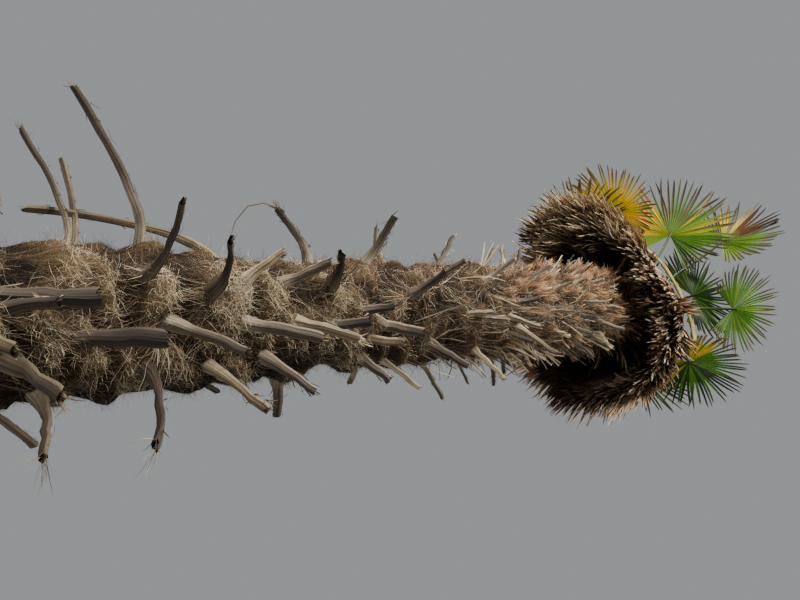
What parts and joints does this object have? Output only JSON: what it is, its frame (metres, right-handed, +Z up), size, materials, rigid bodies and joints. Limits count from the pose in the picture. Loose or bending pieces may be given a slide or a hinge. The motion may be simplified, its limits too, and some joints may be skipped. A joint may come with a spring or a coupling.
{
  "type": "windmill palm",
  "caption": "Tall windmill palm with a shaggy fibre-clad trunk studded with old leaf-stalk stubs, a hanging skirt of dead leaves and a crown of stiff round fan leaves.",
  "frame": {"origin": "middle of the flat cut under the trunk, at ground level", "axes": "+Z up along the trunk, -Y towards the side that the picture was taken from, +X to the right seen from there"},
  "size_m": [1.4788, 1.5863, 5.9406],
  "materials": {
    "trunk": "mat of grey-brown trunk fibre with straw-coloured strands, rough and dry",
    "dead_leaf": "dry grey-brown leaf blade, matt",
    "young_leaf": "folded young leaf, pale green, lightly waxy",
    "fruit_stalk": "smooth stalk drying from green to straw",
    "green_leaf": "stiff pleated leaf blade, lightly waxy, yellowing and dry at some tips"
  },
  "bodies": {
    "root": {"trunk": "trunk", "dead_leaves_01": "dead_leaf", "dead_leaves_02": "dead_leaf", "dead_leaves_03": "dead_leaf", "dead_leaves_04": "dead_leaf", "dead_leaves_05": "dead_leaf", "dead_leaves_06": "dead_leaf", "dead_leaves_07": "dead_leaf", "dead_leaves_08": "dead_leaf", "dead_leaves_09": "dead_leaf", "dead_leaves_10": "dead_leaf", "dead_leaves_11": "dead_leaf", "dead_leaves_12": "dead_leaf", "dead_leaves_13": "dead_leaf", "dead_leaves_14": "dead_leaf", "dead_leaves_15": "dead_leaf", "dead_leaves_16": "dead_leaf", "spear_leaf_1": "young_leaf", "spear_leaf_2": "young_leaf", "fruit_stalk": "fruit_stalk", "fan_leaf_01": "green_leaf", "fan_leaf_02": "green_leaf", "fan_leaf_03": "green_leaf", "fan_leaf_04": "green_leaf", "fan_leaf_05": "green_leaf", "fan_leaf_06": "green_leaf", "fan_leaf_07": "green_leaf", "fan_leaf_08": "green_leaf", "fan_leaf_09": "green_leaf", "fan_leaf_10": "green_leaf", "fan_leaf_11": "green_leaf", "fan_leaf_12": "green_leaf", "fan_leaf_13": "green_leaf", "fan_leaf_14": "green_leaf", "fan_leaf_15": "green_leaf", "fan_leaf_16": "green_leaf", "fan_leaf_17": "green_leaf", "fan_leaf_18": "green_leaf"}
  },
  "joints": []
}
